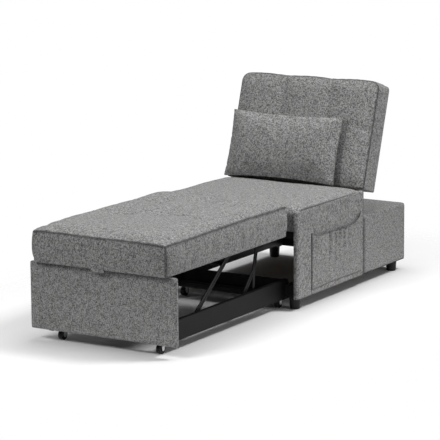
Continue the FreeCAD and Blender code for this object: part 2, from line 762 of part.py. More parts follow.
def arm_tip(pivot, length, degrees):
    turn = math.radians(degrees)
    return pivot[0] + length * math.cos(turn), pivot[1] + length * math.sin(turn)


FRONT_PIN = arm_tip(FRONT_PIVOT, FRONT_ARM_LEN, FRONT_ARM_ANGLE)
REAR_PIN = arm_tip(REAR_PIVOT, REAR_ARM_LEN, REAR_ARM_ANGLE)
LIFT_DROP = FRONT_PIN[1] - arm_tip(FRONT_PIVOT, FRONT_ARM_LEN, FRONT_ARM_ANGLE - LIFT_SWING)[1]
REAR_END = math.degrees(math.asin((REAR_PIN[1] - REAR_PIVOT[1] - LIFT_DROP) / REAR_ARM_LEN))
REAR_RATIO = (REAR_ARM_ANGLE - REAR_END) / LIFT_SWING


def slot_point(swing):
    front = arm_tip(FRONT_PIVOT, FRONT_ARM_LEN, FRONT_ARM_ANGLE - swing)
    rear = arm_tip(REAR_PIVOT, REAR_ARM_LEN, REAR_ARM_ANGLE - REAR_RATIO * swing)
    y = REAR_PIN[0] + (rear[0] - REAR_PIN[0]) - (front[0] - FRONT_PIN[0])
    z = REAR_PIN[1] + (rear[1] - REAR_PIN[1]) - (front[1] - FRONT_PIN[1])
    return y, z


def pivot_stud(pivot):
    collar = rod_x(pivot[0], pivot[1], PIN_HEAD_R, ARM_X1 + TOUCH, RAIL_INNER_X)
    shank = rod_x(pivot[0], pivot[1], ARM_PIN_R, ARM_X - TOUCH - PIN_HEAD_T, RAIL_INNER_X)
    head_x1 = ARM_X - TOUCH
    head = rod_x(pivot[0], pivot[1], PIN_HEAD_R, head_x1 - PIN_HEAD_T, head_x1)
    return shank.fuse([collar, head]).removeSplitter()


def arm_pivot_studs():
    studs = [pivot_stud(pivot) for pivot in (FRONT_PIVOT, REAR_PIVOT)]
    return group(studs + [mirrored(stud) for stud in studs])


def bored(shape, points):
    for y, z in points:
        shape = shape.cut(rod_x(y, z, ARM_PIN_R + RUN_FIT, ARM_X, ARM_X1))
    return shape


def groove(start, end):
    length = math.hypot(end[0] - start[0], end[1] - start[1])
    share = ARM_GROOVE_END / length
    first = (start[0] + (end[0] - start[0]) * share, start[1] + (end[1] - start[1]) * share)
    last = (end[0] - (end[0] - start[0]) * share, end[1] - (end[1] - start[1]) * share)
    return flat_bar(first, last, ARM_GROOVE_W, ARM_X1 - ARM_GROOVE_D, ARM_X1)


def front_arm():
    arm = flat_bar(FRONT_PIVOT, FRONT_PIN, ARM_W, ARM_X, ARM_X1)
    return bored(arm.cut(groove(FRONT_PIVOT, FRONT_PIN)), [FRONT_PIVOT, FRONT_PIN])


def front_tie_tube():
    y, z = arm_tip(FRONT_PIVOT, FRONT_ARM_LEN - TIE_FROM_PIN, FRONT_ARM_ANGLE)
    return rod_x(y, z, TIE_R, -ARM_X, ARM_X)


ELBOW = (REAR_PIVOT[0] + ELBOW_Y, REAR_PIVOT[1] + ELBOW_Z)
TOE = (REAR_PIVOT[0] + TOE_Y, REAR_PIVOT[1] + TOE_Z)


def rear_arm():
    shin = flat_bar(REAR_PIVOT, ELBOW, ARM_W, ARM_X, ARM_X1)
    thigh = flat_bar(ELBOW, REAR_PIN, ARM_W, ARM_X, ARM_X1)
    toe = flat_bar(ELBOW, TOE, TOE_W, ARM_X, ARM_X1)
    whole = shin.fuse([thigh, toe]).cut([groove(REAR_PIVOT, ELBOW), groove(ELBOW, REAR_PIN)])
    arm = bored(whole, [REAR_PIVOT])
    x0 = BRACKET_X0 - TOUCH - PIN_HEAD_T
    pin = rod_x(REAR_PIN[0], REAR_PIN[1], ARM_PIN_R, x0, ARM_X)
    head = rod_x(REAR_PIN[0], REAR_PIN[1], PIN_HEAD_R, x0, x0 + PIN_HEAD_T)
    return arm.fuse([pin, head]).removeSplitter()


def bracket(y0, y1, low_points):
    top = PAD_Z0
    outline = [(y0, top), (y1, top)] + low_points
    ear = side_plate(outline, BRACKET_X0, BRACKET_X1)
    flange = block(BRACKET_X1 - FLANGE_W, BRACKET_X1, y0, y1, top - FLANGE_T, top)
    return ear.fuse(flange).removeSplitter()


def bracket_screws():
    x = BRACKET_X1 - FLANGE_W / 2
    front = (FRONT_PIN[0] - EAR_SPREAD / 2, FRONT_PIN[0] + EAR_SPREAD / 2)
    rear = (slot_point(0.0)[0] - SLOT_MARGIN, slot_point(LIFT_SWING)[0] + SLOT_MARGIN)
    heads = []
    for y0, y1 in (front, rear):
        for y in (y0 + 2 * SCREW_R, y1 - 2 * SCREW_R):
            heads += [screw_head(vec(side * x, y, PAD_Z0 - FLANGE_T), vec(0, 0, -1)) for side in (-1, 1)]
    return group(heads)


def pad_front_bracket():
    y, z = FRONT_PIN
    half = EAR_SPREAD / 2
    round_r = 2 * ARM_PIN_R
    plate = bracket(y - half, y + half, [(y + round_r, z), (y - round_r, z)])
    nose = rod_x(y, z, round_r, BRACKET_X0, BRACKET_X1)
    plate = plate.fuse(nose).removeSplitter()
    return plate.cut(rod_x(y, z, ARM_PIN_R + RUN_FIT, BRACKET_X0, BRACKET_X1))


def pad_front_pins():
    y, z = FRONT_PIN
    x0 = BRACKET_X0 - PIN_HEAD_T
    x1 = ARM_X1 + TOUCH + PIN_HEAD_T
    shank = rod_x(y, z, ARM_PIN_R, x0, x1)
    outer_head = rod_x(y, z, PIN_HEAD_R, ARM_X1 + TOUCH, x1)
    inner_head = rod_x(y, z, PIN_HEAD_R, x0, BRACKET_X0)
    return pair(shank.fuse([outer_head, inner_head]).removeSplitter())


def arc_strip(first, middle, last, half_width, x0, x1):
    path = Part.Arc(vec(x0, *first), vec(x0, *middle), vec(x0, *last)).toShape().Curve
    centre = path.Center
    radius = path.Radius

    def ring_point(point, r):
        spoke = vec(x0, *point) - centre
        return centre + spoke * (r / radius)

    outer = [ring_point(p, radius + half_width) for p in (first, middle, last)]
    inner = [ring_point(p, radius - half_width) for p in (last, middle, first)]
    edges = [
        Part.Arc(*outer).toShape(),
        Part.LineSegment(outer[2], inner[0]).toShape(),
        Part.Arc(*inner).toShape(),
        Part.LineSegment(inner[2], outer[0]).toShape(),
    ]
    strip = Part.Face(Part.Wire(edges)).extrude(vec(x1 - x0, 0, 0))
    ends = [rod_x(p[0], p[1], half_width, x0, x1) for p in (first, last)]
    return strip.fuse(ends).removeSplitter()


def pad_rear_bracket():
    path = [slot_point(LIFT_SWING * i / 4) for i in range(5)]
    first = path[0]
    last = path[-1]
    low_z = REAR_PIN[1] - SLOT_MARGIN
    y0 = first[0] - SLOT_MARGIN
    y1 = last[0] + SLOT_MARGIN
    corner = ARM_PIN_R
    low_edge = [(y1, low_z + corner), (y1 - corner, low_z), (y0 + corner, low_z), (y0, low_z + corner)]
    plate = bracket(y0, y1, low_edge)
    half_width = ARM_PIN_R + SLOT_FIT
    slots = [arc_strip(*path[i:i + 3], half_width, BRACKET_X0, BRACKET_X1) for i in (0, 2)]
    return plate.cut(slots)


# Foot pad
def level_ring(x, y, z, radius, sides):
    turns = [2 * math.pi * i / sides for i in range(sides + 1)]
    return Part.makePolygon([vec(x + radius * math.cos(t), y + radius * math.sin(t), z) for t in turns])


def tuft_dimple(x, y, z):
    low = level_ring(x, y, z, TUFT_BUTTON_R, TUFT_SIDES)
    high = level_ring(x, y, z + 2 * TUFT_SINK, 2 * TUFT_R, TUFT_SIDES)
    return Part.makeLoft([low, high], True, True)


def pad_form():
    half = PAD_W / 2 - SIDE_BULGE
    base = PAD_Z0
    seam = PAD_SEAM_Z
    length = PAD_REAR_Y - PAD_FRONT_Y
    end = (half - EDGE_TUCK, base + BASE_LIFT, seam - EDGE_TUCK, END_CROWN)
    body = [
        (PAD_FRONT_Y + PAD_EDGE, half, base, seam, PAD_CROWN / 3),
        (PAD_FRONT_Y + length / 3, half, base, seam, PAD_CROWN),
        (PAD_REAR_Y - length / 3, half, base, seam, PAD_CROWN),
        (PAD_REAR_Y - PAD_EDGE, half, base, seam, PAD_CROWN / 3),
    ]
    form = cushion([(PAD_FRONT_Y, *end)], body, [(PAD_REAR_Y, *end)], 1, SIDE_BULGE)
    dimples = []
    for row in TUFT_ROWS:
        for x in (-TUFT_PITCH, 0.0, TUFT_PITCH):
            top = seam + PAD_CROWN * math.sqrt(1 - (x / half) ** 2)
            dimples.append(tuft_dimple(x, PAD_FRONT_Y + length * row, top - TUFT_SINK))
    return form.cut(dimples)


PAD_FORM = pad_form()
PAD_IN_X = PAD_W / 2 - PAD_WALL
PAD_DECK_Z1 = PAD_Z0 + DECK_T
PAD_FOAM_Z1 = PAD_DECK_Z1 + PAD_FOAM_T


def pad_cavity():
    y0 = ROLL_REAR_Y
    y1 = PAD_REAR_Y - PAD_WALL
    return block(-PAD_IN_X, PAD_IN_X, y0, y1, PAD_Z0 - CUT_OVER, PAD_FOAM_Z1)


def pad_cover():
    rear_part = block(-PAD_W, PAD_W, ROLL_REAR_Y, PAD_REAR_Y + CUT_OVER, 0.0, PAD_SEAM_Z + 2 * PAD_CROWN)
    return PAD_FORM.common(rear_part).cut(pad_cavity())


def pad_front_roll():
    front_part = block(-PAD_W, PAD_W, PAD_FRONT_Y - CUT_OVER, ROLL_REAR_Y, 0.0, PAD_SEAM_Z + 2 * PAD_CROWN)
    return PAD_FORM.common(front_part)


def pad_deck():
    y1 = PAD_REAR_Y - PAD_WALL
    return block(-PAD_IN_X, PAD_IN_X, ROLL_REAR_Y, y1, PAD_Z0, PAD_DECK_Z1)


def pad_foam():
    y1 = PAD_REAR_Y - PAD_WALL
    return block(-PAD_IN_X, PAD_IN_X, ROLL_REAR_Y, y1, PAD_DECK_Z1, PAD_FOAM_Z1)


def pull_tab():
    z1 = PAD_Z0 + PULL_TAB_H / 2
    y1 = PAD_FRONT_Y - RUN_FIT
    return block(-PULL_TAB_W / 2, PULL_TAB_W / 2, y1 - PULL_TAB_T, y1, z1 - PULL_TAB_H, z1)


# Lumbar pillow, drawn flat on the folded backrest and raised with it
def pillow_section(s, half, thick):
    y = BACK_Y0 + s
    z = BACK_FACE_Z + BACK_CROWN - PILLOW_NESTLE + TOUCH + PILLOW_T / 2
    x = PILLOW_SHIFT_X
    edge = min(PILLOW_EDGE, thick) / 2
    right_low = vec(x + half, y, z - edge)
    right_top = vec(x + half, y, z + edge)
    left_top = vec(x - half, y, z + edge)
    left_low = vec(x - half, y, z - edge)
    edges = [
        Part.LineSegment(right_low, right_top).toShape(),
        Part.Arc(right_top, vec(x, y, z + thick / 2), left_top).toShape(),
        Part.LineSegment(left_top, left_low).toShape(),
        Part.Arc(left_low, vec(x, y, z - thick / 2), right_low).toShape(),
    ]
    return Part.Wire(edges)


def lumbar_pillow():
    half = PILLOW_W / 2
    shares = [(0.0, 1.0, 0.10), (0.16, 0.97, 0.66), (0.5, 0.95, 1.0), (0.84, 0.97, 0.66), (1.0, 1.0, 0.10)]
    wires = [pillow_section(PILLOW_BASE + PILLOW_H * s, half * w, PILLOW_T * t) for s, w, t in shares]
    return Part.makeLoft(wires, True, True)


os.makedirs("parts", exist_ok=True)

save_pair("side_board", side_board())
save_pair("side_cover", side_cover())
save("side_foam", pair(side_foam()))
save("seat_foam", seat_foam())
save("seat_front_cover", seat_front_cover())
save("seat_top_cover", seat_top_cover())
save("seat_front_rail", seat_front_rail())
save("seat_back_board", seat_back_board())
save("seat_rear_cover", seat_rear_cover())
save("seat_springs", group([seat_spring(x) for x in SPRING_XS]))
save("spring_clips", spring_clips())
save("rear_board", rear_board())
save("rear_deck_board", rear_deck_board())
save("rear_cover", rear_cover())
save("rear_deck_pad", rear_deck_pad())
save("legs", legs())
save("leg_glides", leg_glides())
save("corner_blocks", corner_blocks())
save("tray_guides", pair(tray_guide()))
save("side_pocket", side_pocket())

save("back_cover", raise_back(back_cover()))
save("back_foam", raise_back(back_foam()))
save("back_stiles", raise_back(back_stiles()))
save("back_rails", raise_back(back_rails()))
save("back_panel", raise_back(back_panel()))
save("hinge_bases", pair(hinge_base()))
save("hinge_arms", pair(raise_back(hinge_arm())))
save("hinge_pins", pair(hinge_pin()))
save("hinge_screws", hinge_screws())

save("front_panel_board", front_panel_board())
save("front_panel_cover", front_panel_cover())
save_pair("tray_rail", tray_rail())
save("tray_front_beam", tray_beam(PANEL_REAR_Y, 1, FRONT_BEAM_H))
save("tray_rear_beam", tray_beam(TRAY_END_Y, -1, REAR_BEAM_H))
save("caster_forks", caster_forks())
save("caster_screws", caster_screws())
for end, wheel_y in zip(("front", "rear"), CASTER_YS):
    save("wheel_" + end + "_right", caster_wheel(WHEEL_X, wheel_y))
    save("wheel_" + end + "_left", caster_wheel(-WHEEL_X, wheel_y))

save("arm_pivot_studs", arm_pivot_studs())
save("front_arms", pair(front_arm()))
save("front_tie_tube", front_tie_tube())
save("rear_arms", pair(rear_arm()))
save("pad_front_brackets", pair(pad_front_bracket()))
save("pad_front_pins", pad_front_pins())
save("pad_rear_brackets", pair(pad_rear_bracket()))
save("bracket_screws", bracket_screws())
save("pad_deck", pad_deck())
save("pad_foam", pad_foam())
save("pad_cover", pad_cover())
save("pad_front_roll", pad_front_roll())
save("pull_tab", pull_tab())
save("lumbar_pillow", raise_back(lumbar_pillow()))

print("front pin", FRONT_PIN, "rear pin", REAR_PIN, "rear arm ratio", round(REAR_RATIO, 5))
print("arm pivots", FRONT_PIVOT, REAR_PIVOT, "back hinge", (HINGE_Y, HINGE_Z))
print("wheel centres", CASTER_YS)
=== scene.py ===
import json
import math

import bpy
import numpy as np
from mathutils import Matrix, Vector, noise


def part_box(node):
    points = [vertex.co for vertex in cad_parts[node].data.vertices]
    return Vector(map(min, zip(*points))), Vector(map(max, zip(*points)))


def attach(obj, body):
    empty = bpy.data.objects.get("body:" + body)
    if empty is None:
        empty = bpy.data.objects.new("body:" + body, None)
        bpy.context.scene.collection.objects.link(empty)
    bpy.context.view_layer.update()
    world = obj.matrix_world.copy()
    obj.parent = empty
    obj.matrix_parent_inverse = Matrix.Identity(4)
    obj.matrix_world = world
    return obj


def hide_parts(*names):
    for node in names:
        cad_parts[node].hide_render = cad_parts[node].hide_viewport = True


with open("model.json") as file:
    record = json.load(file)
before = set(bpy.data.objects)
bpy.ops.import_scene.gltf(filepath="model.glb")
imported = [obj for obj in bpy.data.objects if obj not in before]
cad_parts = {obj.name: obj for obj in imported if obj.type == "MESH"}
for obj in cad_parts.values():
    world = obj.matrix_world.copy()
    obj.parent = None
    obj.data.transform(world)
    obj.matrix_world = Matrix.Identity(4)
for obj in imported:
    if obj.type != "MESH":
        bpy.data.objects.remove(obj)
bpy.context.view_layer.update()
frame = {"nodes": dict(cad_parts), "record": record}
nodes = frame["nodes"]


# ---------------------------------------------------------------- shader helper
class Sock:
    """A node socket that can be used in arithmetic."""

    def __init__(self, tree, socket):
        self.tree = tree
        self.socket = socket

    def _math(self, operation, first, second):
        made = self.tree.make("ShaderNodeMath", {0: first, 1: second}, operation=operation)
        return Sock(self.tree, made.outputs[0])

    def __add__(self, other):
        return self._math("ADD", self, other)

    def __radd__(self, other):
        return self._math("ADD", other, self)

    def __sub__(self, other):
        return self._math("SUBTRACT", self, other)

    def __rsub__(self, other):
        return self._math("SUBTRACT", other, self)

    def __mul__(self, other):
        return self._math("MULTIPLY", self, other)

    def __rmul__(self, other):
        return self._math("MULTIPLY", other, self)

    def __pow__(self, other):
        return self._math("POWER", self, other)

    def sharpen(self, low, high):
        made = self.tree.make("ShaderNodeMapRange", {0: self, 1: low, 2: high})
        made.interpolation_type = "SMOOTHSTEP"
        return Sock(self.tree, made.outputs[0])


class Shader:
    """One material with a Principled surface."""

    def __init__(self, name, **constants):
        self.material = bpy.data.materials.new(name)
        self.material.use_nodes = True
        self.nodes = self.material.node_tree.nodes
        self.links = self.material.node_tree.links
        self.surface = self.nodes["Principled BSDF"]
        for key, value in constants.items():
            self.surface.inputs[key.replace("_", " ")].default_value = value

    def make(self, kind, inputs=(), **settings):
        node = self.nodes.new(kind)
        for key, value in settings.items():
            setattr(node, key, value)
        for key, value in dict(inputs).items():
            self.join(value, node.inputs[key])
        return node

    def join(self, value, socket):
        if isinstance(value, Sock):
            self.links.new(value.socket, socket)
        else:
            socket.default_value = value

    def place(self):
        return Sock(self, self.make("ShaderNodeTexCoord").outputs["Object"])

    def noise(self, where, scale, detail=2.0, rough=0.5):
        inputs = {"Vector": where, "Scale": scale, "Detail": detail, "Roughness": rough}
        made = self.make("ShaderNodeTexNoise", inputs)
        return Sock(self, made.outputs[0])

    def stretch(self, where, scale):
        made = self.make("ShaderNodeMapping", {"Vector": where, "Scale": scale})
        return Sock(self, made.outputs[0])

    def mix(self, factor, first, second):
        made = self.make("ShaderNodeMix", {0: factor, 6: first, 7: second}, data_type="RGBA")
        return Sock(self, made.outputs[2])

    def attribute(self, name):
        return Sock(self, self.make("ShaderNodeAttribute", attribute_name=name).outputs["Fac"])

    def bump(self, height, distance, strength=1.0):
        made = self.make("ShaderNodeBump", {"Height": height, "Distance": distance, "Strength": strength})
        self.links.new(made.outputs[0], self.surface.inputs["Normal"])


def grey(value, warm=0.0):
    return (value * (1 + warm), value, value * (1 - warm), 1.0)


# ---------------------------------------------------------------- materials
def cloth_material():
    s = Shader("upholstery", Roughness=0.92)
    s.surface.inputs["Sheen Weight"].default_value = 0.12
    s.surface.inputs["Sheen Roughness"].default_value = 0.6
    s.surface.inputs["Specular IOR Level"].default_value = 0.15
    where = s.place()
    fleck = s.noise(where, 205.0, 2.0, 0.55).sharpen(0.40, 0.60)
    speck = s.noise(where, 520.0, 1.0).sharpen(0.42, 0.60)
    warp = s.noise(s.stretch(where, (1.0, 1.0, 0.16)), 420.0, 2.0).sharpen(0.38, 0.62)
    cloud = s.noise(where, 9.0, 2.0)
    slub = s.noise(where, 95.0, 2.0, 0.6).sharpen(0.40, 0.60)
    yarn = fleck * 0.46 + speck * 0.18 + warp * 0.16 + slub * 0.20
    # The seam mask darkens sewn seams and panel joints, and also carries painted shade at the pad's tufts
    # and in the pocket's folds.
    seam_and_shade = s.attribute("seam_and_shade")
    colour = s.mix(yarn, grey(0.022), grey(0.43, 0.01))
    colour = s.mix(cloud * 0.14, colour, grey(0.24))
    colour = s.mix(seam_and_shade * 0.88, colour, grey(0.028))
    s.join(colour, s.surface.inputs["Base Color"])
    s.bump(yarn, 0.0014, 0.7)
    return s.material


def wood_material(name, light, dark):
    s = Shader(name, Roughness=0.62)
    where = s.place()
    grain = s.noise(s.stretch(where, (18.0, 1.4, 18.0)), 9.0, 4.0).sharpen(0.3, 0.7)
    s.join(s.mix(grain, dark, light), s.surface.inputs["Base Color"])
    s.bump(grain, 0.0003, 0.5)
    return s.material


def grained_material(name, level, rough, scale, depth):
    s = Shader(name, Roughness=rough, Specular_IOR_Level=0.22)
    where = s.place()
    grain = s.noise(where, scale, 3.0)
    s.join(s.mix(grain, grey(level * 0.8), grey(level * 1.2)), s.surface.inputs["Base Color"])
    s.bump(grain, depth, 0.4)
    return s.material


def metal_material(name, level, rough):
    s = Shader(name, Metallic=1.0)
    where = s.place()
    smear = s.noise(s.stretch(where, (1.0, 6.0, 6.0)), 40.0, 3.0)
    s.join(smear * 0.2 + (rough - 0.1), s.surface.inputs["Roughness"])
    s.surface.inputs["Base Color"].default_value = grey(level)
    return s.material


materials = {
    "upholstery": cloth_material(),
    "foam": grained_material("foam", 0.7, 0.95, 300.0, 0.0008),
    "carcass_board": wood_material("carcass_board", (0.50, 0.36, 0.22, 1), (0.30, 0.19, 0.10, 1)),
    "timber": wood_material("timber", (0.62, 0.44, 0.26, 1), (0.42, 0.27, 0.14, 1)),
    "black_board": grained_material("black_board", 0.005, 0.55, 120.0, 0.0002),
    "black_steel": grained_material("black_steel", 0.011, 0.42, 900.0, 0.0001),
    "zinc_steel": metal_material("zinc_steel", 0.72, 0.30),
    "spring_wire": metal_material("spring_wire", 0.35, 0.38),
    "black_plastic": grained_material("black_plastic", 0.014, 0.36, 500.0, 0.0001),
    "glide_rubber": grained_material("glide_rubber", 0.02, 0.8, 600.0, 0.0001),
    "caster_wheel": grained_material("caster_wheel", 0.012, 0.28, 300.0, 0.00005),
}
for subpart in frame["record"]["subparts"]:
    mesh = nodes[subpart["node"]].data
    mesh.materials.clear()
    mesh.materials.append(materials[subpart["material_slot"]])


# ---------------------------------------------------------------- mesh helpers
def new_piece(name, points, faces, seam_and_shade=None):
    """A smooth upholstered mesh, darkened where seam nears 1: at sewn seams, and as painted shade where a
    piece paints shade into it.
    """
    mesh = bpy.data.meshes.new(name)
    mesh.from_pydata([tuple(p) for p in points], [], [tuple(f) for f in faces])
    mesh.validate()
    mesh.materials.append(materials["upholstery"])
    if seam_and_shade is not None:
        mesh.attributes.new("seam_and_shade", "FLOAT", "POINT").data.foreach_set("value", np.asarray(seam_and_shade, np.float32))
    piece = bpy.data.objects.new(name, mesh)
    bpy.context.scene.collection.objects.link(piece)
    mesh.shade_smooth()
    return piece


def lattice_box(size, step):
    """Unit coordinates and outward quads of a closed box with square cells about step across."""
    counts = [max(1, round(length / step)) for length in size]
    index = {}
    quads = []
    for axis in range(3):
        u, v = (axis + 1) % 3, (axis + 2) % 3
        for end in (0, counts[axis]):
            for a in range(counts[u]):
                for b in range(counts[v]):
                    quad = []
                    for da, db in ((0, 0), (1, 0), (1, 1), (0, 1)):
                        key = [0, 0, 0]
                        key[axis], key[u], key[v] = end, a + da, b + db
                        quad.append(index.setdefault(tuple(key), len(index)))
                    quads.append(quad if end else quad[::-1])
    return np.array(list(index), float) / np.array(counts), quads


def vertices(piece):
    flat = np.empty(len(piece.data.vertices) * 3)
    piece.data.vertices.foreach_get("co", flat)
    return flat.reshape(-1, 3)


def set_vertices(piece, points):
    piece.data.vertices.foreach_set("co", np.asarray(points, float).ravel())
    piece.data.update()


def bake(piece):
    """Applies every modifier of a piece to its mesh."""
    graph = bpy.context.evaluated_depsgraph_get()
    mesh = bpy.data.meshes.new_from_object(piece.evaluated_get(graph), depsgraph=graph)
    piece.modifiers.clear()
    piece.data = mesh
    mesh.shade_smooth()


def swell(piece, hold, pressure, cap, slack=0.0, frames=20, stiffness=25.0, bending=2.0):
    """Blows a closed cloth up from inside, held where hold is 1, with no point moving past cap."""
    start = vertices(piece)
    group = piece.vertex_groups.new(name="hold")
    for level in np.unique(np.round(hold, 1)):
        members = np.nonzero(np.round(hold, 1) == level)[0].tolist()
        if level > 0:
            group.add(members, float(level), "REPLACE")
    cloth = piece.modifiers.new("swell", "CLOTH")
    cloth.settings.quality = 6
    cloth.settings.mass = 0.25
    cloth.settings.tension_stiffness = stiffness
    cloth.settings.compression_stiffness = stiffness
    cloth.settings.shear_stiffness = stiffness / 3
    cloth.settings.bending_stiffness = bending
    cloth.settings.air_damping = 2.0
    cloth.settings.use_pressure = True
    cloth.settings.uniform_pressure_force = pressure
    cloth.settings.shrink_min = -slack
    cloth.settings.vertex_group_mass = "hold"
    cloth.settings.pin_stiffness = 3.0
    cloth.settings.effector_weights.gravity = 0.0
    cloth.collision_settings.use_collision = False
    cloth.point_cache.frame_end = frames
    for frame_number in range(1, frames + 1):
        bpy.context.scene.frame_set(frame_number)
    graph = bpy.context.evaluated_depsgraph_get()
    settled = piece.evaluated_get(graph).to_mesh()
    flat = np.empty(len(settled.vertices) * 3)
    settled.vertices.foreach_get("co", flat)
    moved = flat.reshape(-1, 3) - start
    piece.evaluated_get(graph).to_mesh_clear()
    piece.modifiers.clear()
    piece.vertex_groups.clear()
    bpy.context.scene.frame_set(1)
    length = np.linalg.norm(moved, axis=1)
    soft = cap * np.tanh(length / cap)
    moved *= (soft / np.maximum(length, 1e-9))[:, None]
    set_vertices(piece, start + moved)
    return piece


def refine(piece):
    subdivision = piece.modifiers.new("refine", "SUBSURF")
    subdivision.levels = 1
    subdivision.render_levels = 1
    bake(piece)
    return piece


def waves(points, scale, seed):
    """Smooth noise from -1 to 1 at each point."""
    shift = Vector((seed * 3.7, seed * 1.3, seed * 2.1))
    return np.array([noise.noise(Vector(p) * scale + shift) for p in points])


def near(distance, width):
    return np.exp(-(np.asarray(distance) / width) ** 2)


def arch(distance, reach):
    """0 at an edge, rising steeply and levelling out at reach."""
    return np.sqrt(1 - (1 - np.clip(distance / reach, 0, 1)) ** 2)


def round_edge(points, a, b, edge_a, edge_b, inward_a, inward_b, radius_a, radius_b):
    """Rounds the edge where coordinate a meets edge_a and b meets edge_b, with inward giving the way in."""
    depth_a = np.clip((points[:, a] - edge_a) * inward_a, 0, None) / radius_a
    depth_b = np.clip((points[:, b] - edge_b) * inward_b, 0, None) / radius_b
    p, q = np.clip(1 - depth_a, 0, None), np.clip(1 - depth_b, 0, None)
    length = np.hypot(p, q)
    shrink = np.where(length > 1e-9, np.maximum(p, q) / np.maximum(length, 1e-9), 1.0)
    points[:, a] += inward_a * radius_a * p * (1 - shrink)
    points[:, b] += inward_b * radius_b * q * (1 - shrink)


def finish_soft(piece, body, *replaced, fill=0.8):
    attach(piece, body)
    if replaced:
        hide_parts(*replaced)
    return piece


STEP = 0.0085


# ---------------------------------------------------------------- foot pad
PAD_LOW = np.array((-0.290, -0.890, 0.2985))
PAD_HIGH = np.array((0.290, -0.034, 0.414))
TUFTS = [(-0.150, -0.520, 1.0), (0.0, -0.450, 1.0), (0.150, -0.490, 0.35),
         (-0.155, -0.245, 1.0), (0.005, -0.165, 1.0), (0.150, -0.200, 0.35)]


def foot_pad():
    size = PAD_HIGH - PAD_LOW
    unit, quads = lattice_box(size, STEP)
    points = PAD_LOW + unit * size
    u, v, w = unit.T
    x, y, z = points.copy().T
    edge_x = np.minimum(u, 1 - u) * size[0]
    edge_y = np.minimum(v, 1 - v) * size[1]
    top = w > 0.999
    under = w < 0.001
    rim = top & ((edge_x < 1e-4) | (edge_y < 1e-4))
    level = np.c_[x, y, 0 * z]
    rise = 0.012 * arch(edge_x, 0.09) * arch(edge_y, 0.09)
    hollow = np.zeros(len(points))
    hold = np.zeros(len(points))
    for tx, ty, depth in TUFTS:
        reach = np.hypot(x - tx, y - ty)
        hollow += depth * (0.013 * near(reach, 0.055) + 0.009 * near(reach, 0.020))
        hold[top & (reach < 0.010)] = depth
    ridge = 0.006 * near(y + 0.300 + 0.10 * x, 0.022) * near(x - 0.05, 0.2)
    points[:, 2] += w * (rise * 1.35 - hollow + ridge) + w * rise / 0.012 * 0.0035 * waves(level, 6.0, 1)
    points[:, 2] += w * 0.0045 * waves(level, 5.0, 3) * (1 - rise / 0.013)
    points[:, 2] -= (1 - w) * 0.0012
    swag = 0.004 * np.sin(math.pi * w) + 0.0015 * waves(points, 9.0, 5) * np.sin(math.pi * w)
    points[:, 0] += np.where(edge_x < 1e-4, np.sign(u - 0.5) * swag, 0)
    points[:, 1] += np.where((edge_y < 1e-4) & (v < 0.5), -0.5 * swag, 0)
    for sx in (0, 1):
        for sy in (0, 1):
            round_edge(points, 0, 1, (PAD_LOW[0], PAD_HIGH[0])[sx], (PAD_LOW[1], PAD_HIGH[1])[sy],
                       1 - 2 * sx, 1 - 2 * sy, 0.014, 0.014)
    hold[rim] = 0.9
    hold[under] = 1.0
    edge = np.minimum(edge_x, edge_y)
    seam_and_shade = near(np.hypot((1 - w) * size[2], edge), 0.0030) * (w > 0.5)
    upright = near(np.hypot(edge_x, edge_y), 0.0030) * (w < 0.999) * (v < 0.5) * 0.8
    # Painted shade: the cloth is darkened round each tuft, where the hollow lies in shade.
    tuft_shade = np.maximum.reduce([d * near(np.hypot(x - a, y - b), 0.016) for a, b, d in TUFTS]) * top * 0.7
    piece = new_piece("foot_pad", points, quads, seam_and_shade=np.maximum.reduce([seam_and_shade, upright, tuft_shade]))
    swell(piece, hold, 5.0, 0.012, slack=0.02, stiffness=15.0)
    refine(piece)
    return finish_soft(piece, "pad", "pad_cover", "pad_foam", "pad_front_roll", fill=0.8)


# ---------------------------------------------------------------- seat
SEAT_LOW = np.array((-0.319, -0.006, 0.300))
SEAT_HIGH = np.array((0.319, 0.529, 0.394))


def seat_cushion():
    size = SEAT_HIGH - SEAT_LOW
    unit, quads = lattice_box(size, STEP)
    points = SEAT_LOW + unit * size
    u, v, w = unit.T
    x, y, z = points.copy().T
    edge_x = np.minimum(u, 1 - u) * size[0]
    edge_y = np.minimum(v, 1 - v) * size[1]
    top = w > 0.999
    level = np.c_[x, y, 0 * z]
    rise = 0.009 * arch(edge_x, 0.08) * arch(v * size[1], 0.10) * arch((1 - v) * size[1], 0.12)
    points[:, 2] += w * (rise + 0.0025 * waves(level, 6.0, 5))
    points[:, 2] -= w * np.clip((y - 0.20) / 0.33, 0, 1) ** 1.5 * 0.008
    below_seam = np.clip((0.386 - z) / 0.004, 0, 1)
    points[:, 0] -= np.sign(x) * 0.018 * below_seam * np.clip((np.abs(x) - 0.28) / 0.039, 0, 1)
    points[:, 1] += 0.045 * (1 - w) ** 1.4 * np.clip(1 - v * size[1] / 0.06, 0, 1)
    round_edge(points, 1, 2, SEAT_LOW[1], SEAT_HIGH[2] + 0.002, 1, -1, 0.040, 0.034)
    for side in (-1, 1):
        round_edge(points, 0, 1, side * SEAT_HIGH[0], SEAT_LOW[1], -side, 1, 0.022, 0.034)
        round_edge(points, 0, 1, side * SEAT_HIGH[0], SEAT_HIGH[1], -side, -1, 0.016, 0.020)
    round_edge(points, 1, 2, SEAT_HIGH[1], SEAT_HIGH[2], -1, -1, 0.022, 0.018)
    hold = np.zeros(len(points))
    hold[top & (edge_x < 1e-4)] = 0.9
    hold[(edge_x < 1e-4) & ~top] = 1.0
    hold[(edge_y < 1e-4) & (v > 0.5) & ~top] = 1.0
    hold[w < 0.001] = 1.0
    seam_and_shade = near(np.hypot(np.maximum(0.387 - z, 0), edge_x), 0.0042) * (w > 0.5)
    piece = new_piece("seat_cushion", points, quads, seam_and_shade=seam_and_shade * 0.7)
    swell(piece, hold, 4.0, 0.008, slack=0.012)
    refine(piece)
    return finish_soft(
        piece, "root", "seat_foam", "seat_front_cover", "seat_top_cover", "side_foam", fill=0.8
    )


